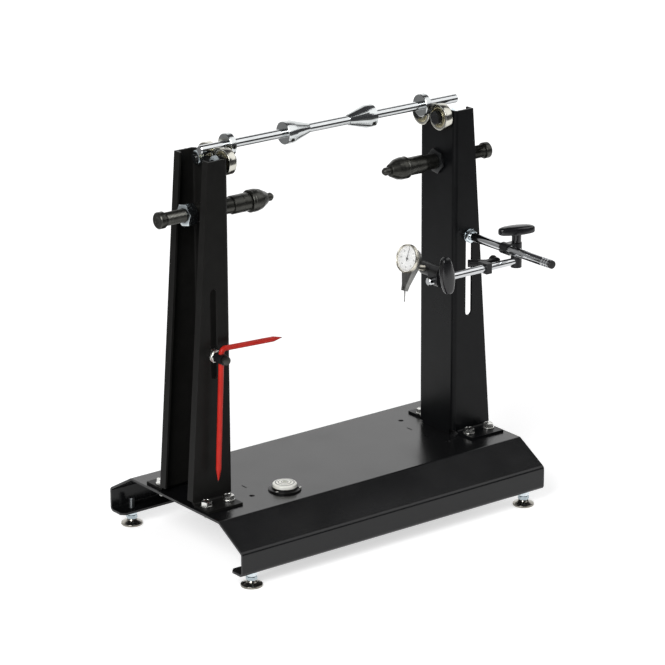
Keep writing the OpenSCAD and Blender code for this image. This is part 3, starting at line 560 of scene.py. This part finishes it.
# ------------------------------------------------------------------ truing spindles
S = Shape()
for s in (-1, 1):
    hex_prism(S, 30, 4.6, tr(-183 if s < 0 else 178.4, 0, 457) @ ro(0, 90, 0) @ ro(0, 0, 43), bore=8.86, mi=1)
    S.lathe(fillet([(8.86, 182.2), (12, 182.2, 0), (12, 212.9), (8.86, 212.9)], 0.35, 2, True), tr(0, 0, 457) @ ro(0, s * 90, 0), 96, True)
S.build("truing_bush_pair", [M_BLACK_TURNED, M_BUSH], "stand", "truing_bushes", "black_oxide_steel")
S = Shape()
for s in (-1, 1):
    hex_prism(S, 27, 14.5, tr(213 if s > 0 else -227.5, 0, 457) @ ro(0, 90, 0) @ ro(0, 0, 18), bore=8.86)
S.build("truing_lock_nut_pair", M_BLUE_ZINC, "stand", "truing_lock_nuts", "zinc_plated_steel")
for side, x0, s in (("left", -151, 1), ("right", 154.5, -1)):
    ax = tr(x0, 0, 457) @ ro(0, s * 90, 0)
    S = Shape()
    # head with a turned face, then the neck behind it
    S.lathe(fillet([(0, -115.4), (4.2, -115.4), (4.4, -116), (9.6, -116, 0.3), (10.9, -114.7), (10.9, -107.6, 0.4),
                    (8.8, -105.5, 0), (8.5, -105.4, 0), (8.5, -104.4), (0, -104.4)], 0.3, 3), ax, 96)
    thread(S, 8.8, 2.0, 0.95, -105.5, -23.2, ax, 56, end=1.2)
    # ground neck and smooth sleeve, bored for the cone's pin
    S.lathe(fillet([(0, -23.5), (10.3, -23.5, 0.5), (10.3, -3.5, 0.1), (11.2, -3.5, 0.2), (12.1, -2.6), (12.1, 10.6), (11.8, 11.0, 0.1),
                    (11.8, 11.9, 0.1), (12.1, 12.3), (12.1, 23.8), (5.06, 23.8), (5.06, 5), (0, 5)], 0.35, 3), ax, 96)
    S.build(side + "_threaded_spindle", M_BLACK_TURNED, side + "_spindle", side + "_truing_spindle", "black_oxide_steel")
    C = Shape()
    C.lathe(fillet([(0, 6), (5, 6), (5, 24.2, 0.1), (13.8, 24.2, 0.3), (14.8, 25.2, 0.4), (14.8, 27.4, 0.1), (14.4, 27.8, 0.1),
                    (14.4, 28.6, 0.1), (14.8, 29.0, 0.1), (14.8, 34.5, 1.2), (13.4, 41.5, 2.0), (8.2, 51.5, 0.6), (4.6, 51.5, 0.3),
                    (5.4, 53, 0.3), (5.4, 59.5, 0.6), (3.4, 62.5, 0.6), (0, 62.5)], 0.4, 4), ax, 96)
    C.build(side + "_live_cone_turned", M_BLACK_TURNED, side + "_live_cone", side + "_truing_cone", "black_oxide_steel")

# ------------------------------------------------------------------ bubble level
LX, LY = -116, -58
base = tr(LX, LY, 81)
S = Shape()
S.lathe(fillet([(0, 0), (21.7, 0), (21.7, 2.3, 0.7), (17.4, 2.3, 0.5), (17.4, 4.7, 0.7), (15.85, 4.7, 0.3), (15.85, 1.5), (0, 1.5)],
               0.3, 3), base, 120)
S.build("level_flange", M_HOUSING, "stand", "level_housing", "black_plastic")
V = Shape()
V.lathe(fillet([(0, 1.5), (15.8, 1.5), (15.8, 8.0, 0.5), (14.6, 9.2, 0.6), (13.2, 9.5, 1.5), (6, 10.2, 8), (0, 10.4)], 0.3, 5), base, 120)


def ring_print(S, r, w, z, h=0.12, mi=0, a0=0.0, a1=TAU, place=base, n=72):
    full = a1 - a0 > TAU - 1e-6
    m = n if full else n + 1
    prof = [(r - w / 2, z - 0.5), (r - w / 2, z + h), (r + w / 2, z + h), (r + w / 2, z - 0.5)]
    rings = []
    for i in range(m):
        a = a0 + (a1 - a0) * i / n
        rings.append([(q * math.cos(a), q * math.sin(a), zz) for q, zz in prof])
    S.loft(rings, place, closed=full, mi=mi)


def dome_z(r):
    return 10.40 - 0.033 * r if r < 6 else 10.2 - 0.0972 * (r - 6)


for r_, w_ in ((4.3, 0.9), (8.2, 0.8), (12.2, 1.1)):
    ring_print(V, r_, w_, dome_z(r_) - 0.03, 0.10, mi=1)
for a in (-0.35, 2.1):
    ring_print(V, 10.0, 1.3, dome_z(10.0) - 0.04, 0.12, mi=1, a0=a, a1=a + 0.16, n=6)
# the bubble, a shallow lens just off the middle
V.lathe([(0, 10.75), (1.6, 10.7), (2.6, 10.5), (3.1, 10.25), (3.2, 10.0)], base @ tr(0.7, 0.5, 0), 48, mi=2)
V.build("level_vial_dome", [M_VIAL, M_VIAL_LINE, M_BUBBLE], "stand", "level_vial", "clear_vial")
S = Shape()
for a in (-37, 83, 203):
    p = tr(LX + 19.6 * math.cos(math.radians(a)), LY + 19.6 * math.sin(math.radians(a)), 81)
    S.lathe(fillet([(0, 3.0), (0.55, 3.0), (0.6, 3.6, 0.05), (1.2, 3.5, 0.3), (1.8, 2.9, 0.3), (1.8, 2.3), (1.2, 2.3, 0.1),
                    (1.2, -5), (0, -5)], 0.15, 2), p, 48)
S.build("level_screw_set", M_ZINC, "stand", "level_screws", "zinc_plated_steel")

# ------------------------------------------------------------------ feet
for nm, b, sx, sy in (("front_left", "fl", -1, -1), ("front_right", "fr", 1, -1), ("back_left", "bl", -1, 1), ("back_right", "br", 1, 1)):
    p = tr(sx * 226, sy * 134, 0)
    S = Shape()
    S.lathe(fillet([(0, 0.6), (10, 0.6), (12.0, 0, 0.3), (14.0, 0, 0.4), (14.5, 0.9, 0.5), (14.2, 3.0, 0.7), (12.6, 3.4, 0.4),
                    (7.4, 5.8, 2.5), (6, 8.6, 0.5), (3.9, 8.6)], 0.4, 4), p, 96)
    hex_prism(S, 13, 5.1, p @ tr(0, 0, 8.4) @ ro(0, 0, 20), bore=3.9, mi=1)
    thread(S, 4.0, 1.25, 0.62, 8.2, 37, p, 40, mi=2)
    S.build("foot_" + nm + "_turned", [M_ZINC_FOOT, M_FOOT_NUT, M_STUD], "foot_" + b, "foot_" + nm, "zinc_plated_steel")

# ------------------------------------------------------------------ pointer
S = Shape()
S.box((-216.5, -33.2, 269), (-200.5, -28.2, 285), 0.5)
S.lathe(fillet([(0, 0), (4, 0), (4, 6.9), (0, 6.9)], 0.1), along_my(-208.5, -32.5, 277), 40)
thread(S, 4.0, 1.25, 0.6, 0, 7.1, along_my(-208.5, -38.7, 277), 36)
S.build("pointer_square_stud", M_ZINC, "pointer_carriage", "pointer_stud", "zinc_plated_steel")
S = Shape()
S.lathe(fillet([(4.1, 0), (8.5, 0), (8.5, 1.6), (4.1, 1.6)], 0.3, 2, True), along_my(-208.5, -36.8, 277), 64, True)
hex_prism(S, 13, 4, along_my(-208.5, -38.2, 277), bore=4.06)
S.build("pointer_nut_washer", M_ZINC, "pointer_carriage", "pointer_stud_nut", "zinc_plated_steel")
refine("pointer_clamp_block", M_BLOCK, 0.5, 2)
S = Shape()
S.lathe(fillet([(0, 0), (2.5, 0), (2.5, 4.2), (0, 4.2)], 0.2), along_my(-208.5, -54.9, 277), 32)
knurl(S, 5.8, 0, 5.7, along_my(-208.5, -58.3, 277), 24, 0.5, edge=0.9)
S.build("pointer_knurled_screw", M_BLACKENED, "pointer_screw", "pointer_thumb_screw", "black_oxide_steel")

# pointer rod: one bent bar, red up to its ground points
pf = tr(-208.5, -51, 277) @ ro(0, 2.7, 0)
S = Shape()
rad = 3.5
path = []          # (point, tangent, radius, material)
for z, r_ in ((-165, 0.12), (-164.6, 0.38), (-162.0, 0.83)):
    path.append((Vector((0, 0, z)), Vector((0, 0, 1)), r_, 1))
for z, r_ in ((-162.0, 0.83), (-149.6, 3.04), (-147.6, 3.36), (-146, 3.5), (-100, 3.5), (-50, 3.5), (-10, 3.5), (0, 3.5), (7.2, 3.5)):
    path.append((Vector((0, 0, z)), Vector((0, 0, 1)), r_, 0))
for i in range(1, 12):
    a = math.radians(90 * i / 12)
    path.append((Vector((6 - 6 * math.cos(a), 0, 7.2 + 6 * math.sin(a))), Vector((math.sin(a), 0, math.cos(a))), 3.5, 0))
for x, r_ in ((6, 3.5), (40, 3.5), (80.2, 3.5), (81.8, 3.32), (83.4, 2.95), (91.8, 1.03)):
    path.append((Vector((x, 0, 13.2)), Vector((1, 0, 0)), r_, 0))
for x, r_ in ((91.8, 1.03), (94.6, 0.39), (95.0, 0.12)):
    path.append((Vector((x, 0, 13.2)), Vector((1, 0, 0)), r_, 1))


def sweep(S, path, place, n=40):
    groups, cur = [], []
    for q in path:
        if cur and q[3] != cur[-1][3]:
            groups.append(cur)
            cur = []
        cur.append(q)
    groups.append(cur)
    for gi, g in enumerate(groups):
        rings = []
        for c, t, r_, _ in g:
            side = Vector((0, 1, 0))
            other = t.cross(side)
            rings.append([tuple(c + side * (r_ * math.cos(TAU * i / n)) + other * (r_ * math.sin(TAU * i / n))) for i in range(n)])
        S.loft(rings, place, cap=(gi == 0, gi == len(groups) - 1), mi=g[0][3])


sweep(S, path, pf)
S.build("pointer_bent_bar", [M_RED, M_BLACKENED], "pointer", "pointer_rod", "red_paint")

# ------------------------------------------------------------------ indicator holder
RX, RZ = 208.8, 357.6
S = Shape()
hex_prism(S, 17, 4, tr(RX, -38.3, RZ) @ ro(90, 0, 0) @ ro(0, 0, 15), bore=5.06)
S.lathe(fillet([(5.1, 0), (9.6, 0), (9.6, 1.6), (5.1, 1.6)], 0.35, 2, True), along_my(RX, -36.8, RZ), 72, True)
hex_prism(S, 17, 8, tr(RX, -25.2, RZ) @ ro(90, 0, 0) @ ro(0, 0, 15), bore=5.06)
S.build("indicator_rod_nut_pair", M_BLUE_ZINC, "indicator_carriage", "indicator_rod_nuts", "zinc_plated_steel")
S = Shape()
thread(S, 5.0, 1.5, 0.75, 20, 43.2, along_my(RX, 0, RZ), 40)
S.lathe(fillet([(0, 42.7), (5.2, 42.7), (6, 43.5), (6, 186), (5.3, 186.2), (5.3, 188.2), (6, 188.2), (6, 190.8), (5.3, 190.8),
                (5.3, 192.8), (6, 192.8), (6, 195.4), (5.3, 195.4), (5.3, 197.4), (6, 197.4), (6, 200), (5.3, 200),
                (5.3, 201.6), (2.5, 201.6, 0), (2.5, 203.6, 0.1), (0, 203.6)], 0.2, 2), along_my(RX, 0, RZ), 80)
S.build("indicator_rod_turned", M_ROD_Y, "front_rod", "indicator_rod", "polished_steel")
S = Shape()
S.lathe(fillet([(0, 203.8), (2.56, 203.8, 0.1), (2.56, 201.8), (5.1, 201.8), (5.5, 202.3), (5.5, 204.1, 0.6), (4.6, 205.3, 0.8), (0, 205.6)],
               0.2, 4), along_my(RX, 0, RZ), 64)
S.build("rod_end_cap", M_CAP, "front_rod", "indicator_rod_cap", "black_plastic")
for n_ in ("rod_clamp_block", "arm_clamp_block", "stem_holder_block", "end_clamp_block", "stem_jaw"):
    refine(n_, M_BLOCK, 0.6, 2)
paint_node("arm_rod", M_ROD_X)
S = Shape()
S.lathe(fillet([(0, 0), (2.5, 0), (2.5, 7), (0, 7)], 0.3), along_py(193.5, -111.8, 342.5), 32)
knurl(S, 6.6, 0, 4.3, along_py(193.5, -105.7, 342.5), 28, 0.45, edge=0.9)
S.build("stem_holder_knurled_screw", M_BLACKENED, "holder_screw", "stem_holder_screw", "black_oxide_steel")


def oval_ring(k, z):
    """an oval of four arcs, k times the full size"""
    pts = []
    a = math.degrees(math.atan2(50, 19.03))
    for cx, cy, r_, a0, a1, m in ((19.03, 0, 6.5, -a, a, 28), (0, -50, 60, a, 180 - a, 24),
                                  (-19.03, 0, 6.5, 180 - a, 180 + a, 28), (0, 50, 60, 180 + a, 360 - a, 24)):
        for i in range(m):
            t = math.radians(a0 + (a1 - a0) * i / m)
            pts.append((k * (cx + r_ * math.cos(t)), k * (cy + r_ * math.sin(t)), z))
    return pts


def wing(S, place, neck):
    """moulded oval knob with a domed top on a round neck"""
    rings = [oval_ring(k_, neck + z_) for z_, k_ in ((0.0, 0.84), (0.25, 0.93), (0.8, 0.975), (1.6, 0.995), (2.6, 1.0), (6.2, 1.0),
                                                    (7.2, 0.99), (8.1, 0.965), (8.9, 0.915), (9.6, 0.835), (10.2, 0.72),
                                                    (10.65, 0.56), (10.95, 0.36), (11.08, 0.16))]
    rings = rings + [[(0, 0, neck + 11.1)]]
    S.loft(rings, place)
    S.lathe(fillet([(0, 0), (6.0, 0), (6.3, 0.5), (6.3, neck - 0.4, 0), (6.3, neck + 0.6), (0, neck + 0.6)], 0.4, 4), place, 72)


S = Shape()
wing(S, tr(221.5, -118, 365.4) @ ro(0, 0, -18), 11.6)
S.lathe([(0, 346.4), (3.4, 346.4), (4, 347), (4, 366), (0, 366)], tr(221.5, -118, 0), 40)
S.build("clamp_knob_moulded", M_KNOB, "swivel_knob", "clamp_knob", "black_plastic")
S = Shape()
wing(S, tr(88, -126.9, 350) @ ro(90, 0, 0) @ ro(0, 0, 98), 6)
S.lathe([(0, 103.6), (3.4, 103.6), (4, 104.2), (4, 128), (0, 128)], along_my(88, 0, 350), 40)
S.build("end_clamp_knob_moulded", M_KNOB, "end_knob", "end_clamp_knob", "black_plastic")

# ------------------------------------------------------------------ test indicator
DF = tr(88, -99, 350) @ ro(0, 0, 4) @ ro(0, -73, 0)
DC = DF @ tr(9.7, 0, -3)
refine("indicator_stem", M_BEZEL, 0.2, 2)
refine("indicator_body", M_DIAL_BODY, 0.35, 3)
B = Shape()
# bezel with a coined rim
n = 240
prof = [(17.42, 41.35, 0), (18.1, 41.35, 0), (18.5, 41.7, 0.2), (18.75, 42.2, 1), (18.75, 46.2, 1), (18.5, 46.9, 0.2), (18.1, 47.35, 0),
        (17.6, 47.4, 0), (17.2, 47.1, 0), (16.92, 46.7, 0), (16.92, 44.42, 0), (17.42, 44.42, 0)]
rings = []
for r_, z, w in prof:
    rings.append([((r_ - w * 0.22 * (0.5 - 0.5 * math.cos(60 * TAU * i / n))) * math.cos(TAU * i / n),
                   (r_ - w * 0.22 * (0.5 - 0.5 * math.cos(60 * TAU * i / n))) * math.sin(TAU * i / n), z) for i in range(n)])
B.loft(rings, DC, closed=True)
B.build("indicator_bezel_coined", M_BEZEL, "bezel", "indicator_bezel", "satin_chrome")
F = Shape()
F.lathe(fillet([(1.4, 43.0), (17.36, 43.0), (17.36, 44.2), (1.4, 44.2)], 0.1, 2, True), DC, 120, True)


def tick(S, place, a, r0_, r1_, w, z=44.2, h=0.06, mi=1):
    c, s = math.cos(a), math.sin(a)
    pts = []
    for zz in (z - 0.02, z + h):
        for rr, ww in ((r0_, -w / 2), (r1_, -w / 2), (r1_, w / 2), (r0_, w / 2)):
            pts.append((rr * c - ww * s, rr * s + ww * c, zz))
    S.add(pts, [(0, 3, 2, 1), (4, 5, 6, 7), (0, 1, 5, 4), (1, 2, 6, 5), (2, 3, 7, 6), (3, 0, 4, 7)], place, mi)


for i in range(80):
    major = i % 10 == 0
    mid = i % 5 == 0
    tick(F, DC, TAU * i / 80, 13.2 if major else (14.0 if mid else 14.5), 15.9, 0.22 if major else 0.11)
F.build("indicator_face_printed", [M_FACE, M_PRINT], "bezel", "indicator_face", "white_dial")
# numbers of a balanced dial, a flat mesh each
for i, txt in enumerate(("0", "10", "20", "30", "40", "30", "20", "10")):
    a = TAU * i / 8
    cu = bpy.data.curves.new("number_curve_%d" % i, "FONT")
    cu.body = txt
    cu.size = 2.6
    cu.align_x = "CENTER"
    cu.align_y = "CENTER"
    cu.extrude = 0.03
    tmp = bpy.data.objects.new("number_tmp_%d" % i, cu)
    scene.collection.objects.link(tmp)
    bpy.context.view_layer.update()
    me = bpy.data.meshes.new_from_object(tmp.evaluated_get(bpy.context.evaluated_depsgraph_get()))
    bpy.data.objects.remove(tmp)
    # the dial's up is its local X
    place = DC @ tr(11.3 * math.cos(a), 11.3 * math.sin(a), 44.24) @ ro(0, 0, -90)
    me.transform(place)
    me.transform(Matrix.Scale(MM, 4))
    me.materials.clear()
    me.materials.append(M_PRINT)
    o = bpy.data.objects.new("dial_number_%d" % i, me)
    scene.collection.objects.link(o)
    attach(o, "bezel")
G = Shape()
G.lathe(fillet([(0, 46.3), (16.85, 46.0), (16.85, 46.7), (0, 47.1)], 0.1, 2), DC, 96)
G.build("indicator_crystal", M_CRYSTAL, "bezel", None, "white_dial")
# needle: tapered blade, counterweight and hub
NS = Shape()
NS.lathe(fillet([(0, 39.5), (0.8, 39.5), (0.8, 45.0), (1.6, 45.0), (1.6, 45.7), (1.1, 45.95), (0, 45.95)], 0.12, 2), DC, 40)
NS.add([(-3.5, -0.4, 45.2), (14, -0.12, 45.2), (14, 0.12, 45.2), (-3.5, 0.4, 45.2),
        (-3.5, -0.35, 45.5), (14, -0.09, 45.45), (14, 0.09, 45.45), (-3.5, 0.35, 45.5)],
       [(0, 3, 2, 1), (4, 5, 6, 7), (0, 1, 5, 4), (1, 2, 6, 5), (2, 3, 7, 6), (3, 0, 4, 7)], DC)
NS.build("indicator_needle_blade", M_PRINT, "needle", "indicator_needle", "black_paint")
# stylus: hub on its pivot pin, tapered shank and ball
SF = DC @ tr(-39, 0, 37) @ ro(0, -15, 0)
S = Shape()
S.lathe(fillet([(0, -1.2), (2, -1.2), (2, 1.2), (0, 1.2)], 0.25, 2), SF @ ro(90, 0, 0), 48)
S.lathe(fillet([(0, -3.3), (0.7, -3.3), (0.7, 3.3), (0, 3.3)], 0.12, 2), SF @ ro(90, 0, 0), 24)
S.lathe([(0, 1.0), (1.0, 1.2), (1.0, 6.5), (0.85, 7.2), (0.62, 15.6), (0.0, 16.2)], SF @ ro(0, -90, 0), 32)
S.lathe([(math.sin(math.pi * i / 20) * 1.0, -math.cos(math.pi * i / 20) * 1.0) for i in range(21)], SF @ tr(-16.8, 0, 0), 32)
S.build("indicator_stylus_turned", M_STYLUS, "stylus", "indicator_stylus", "polished_steel")

# ------------------------------------------------------------------ floor and light
# floor: pale and glowing where it stands for a painted pool of light round the stand, painted shade (dark, not glowing)
# in front of it and off to the left; the glow is painted light and grows with distance
fm, nt, p = new_mat("pale_floor", (0.80, 0.80, 0.80), 0.0, 0.9)
v = coords(nt)
dot = nt.nodes.new("ShaderNodeVectorMath")
dot.operation = "DOT_PRODUCT"
dot.inputs[1].default_value = (-0.849, 0.528, 0.0)
nt.links.new(v, dot.inputs[0])
side_painted_shade = span(nt, dot.outputs["Value"], 1.0, 0.2, 0.45, 1.35)
yx = nt.nodes.new("ShaderNodeSeparateXYZ")
nt.links.new(v, yx.inputs[0])
floor_painted_light_mask = nt.nodes.new("ShaderNodeMath")
floor_painted_light_mask.operation = "MULTIPLY"
nt.links.new(side_painted_shade, floor_painted_light_mask.inputs[0])
nt.links.new(span(nt, yx.outputs["Y"], 0.06, 1.0, -1.35, -1.02), floor_painted_light_mask.inputs[1])
nt.links.new(ramp(nt, floor_painted_light_mask.outputs[0], [(0.05, (0.05, 0.05, 0.05)), (1.0, (0.80, 0.80, 0.80))]), p.inputs["Base Color"])
far = nt.nodes.new("ShaderNodeVectorMath")
far.operation = "LENGTH"
nt.links.new(v, far.inputs[0])
glow = nt.nodes.new("ShaderNodeMath")
glow.operation = "MULTIPLY"
nt.links.new(span(nt, far.outputs["Value"], 0.60, 0.98, 0.5, 2.6), glow.inputs[0])
nt.links.new(floor_painted_light_mask.outputs[0], glow.inputs[1])
nt.links.new(glow.outputs[0], p.inputs["Emission Strength"])
p.inputs["Emission Color"].default_value = (1, 1, 1, 1)
p.inputs["Specular IOR Level"].default_value = 0.1
fme = bpy.data.meshes.new("floor")
fme.from_pydata([(-30, -30, 0), (30, -30, 0), (30, 30, 0), (-30, 30, 0)], [], [(0, 1, 2, 3)])
fme.materials.append(fm)
floor = bpy.data.objects.new("floor", fme)
scene.collection.objects.link(floor)

world = bpy.data.worlds.new("studio")
scene.world = world
world.use_nodes = True
wt = world.node_tree
bg = next(x for x in wt.nodes if x.type == "BACKGROUND")
tc = wt.nodes.new("ShaderNodeTexCoord")
sep = wt.nodes.new("ShaderNodeSeparateXYZ")
wt.links.new(tc.outputs["Generated"], sep.inputs[0])
# a pale wall behind, dark above and in front, darker to the left
back = span(wt, sep.outputs["Y"], 0.0, 1.0, -0.02, 0.22)
low = span(wt, sep.outputs["Z"], 1.0, 0.0, 0.58, 0.72)
right_side = span(wt, sep.outputs["X"], 0.25, 1.0, -0.55, 0.05)
m1 = wt.nodes.new("ShaderNodeMath")
m1.operation = "MULTIPLY"
wt.links.new(back, m1.inputs[0])
wt.links.new(low, m1.inputs[1])
m2 = wt.nodes.new("ShaderNodeMath")
m2.operation = "MULTIPLY"
wt.links.new(m1.outputs[0], m2.inputs[0])
wt.links.new(right_side, m2.inputs[1])
wt.links.new(ramp(wt, m2.outputs[0], [(0.0, (0.045, 0.045, 0.048)), (1.0, (1.0, 1.0, 1.0))]), bg.inputs["Color"])
bg.inputs["Strength"].default_value = 1.3


def area(name, loc, target, size, power, size_y=None):
    l = bpy.data.lights.new(name, "AREA")
    l.shape = "RECTANGLE"
    l.size = size
    l.size_y = size_y or size
    l.energy = power
    o = bpy.data.objects.new(name, l)
    o.location = loc
    o.rotation_euler = (Vector(target) - Vector(loc)).to_track_quat("-Z", "Y").to_euler()
    scene.collection.objects.link(o)
    return o


area("key", (1.8, -1.4, 2.3), (0, 0, 0.3), 2.4, 27)
area("side", (-2.4, -1.3, 1.9), (0, 0, 0.3), 1.6, 78)

scene.view_settings.view_transform = "Standard"
scene.view_settings.look = "None"
scene.view_settings.exposure = 0.0
scene.view_settings.gamma = 1.0
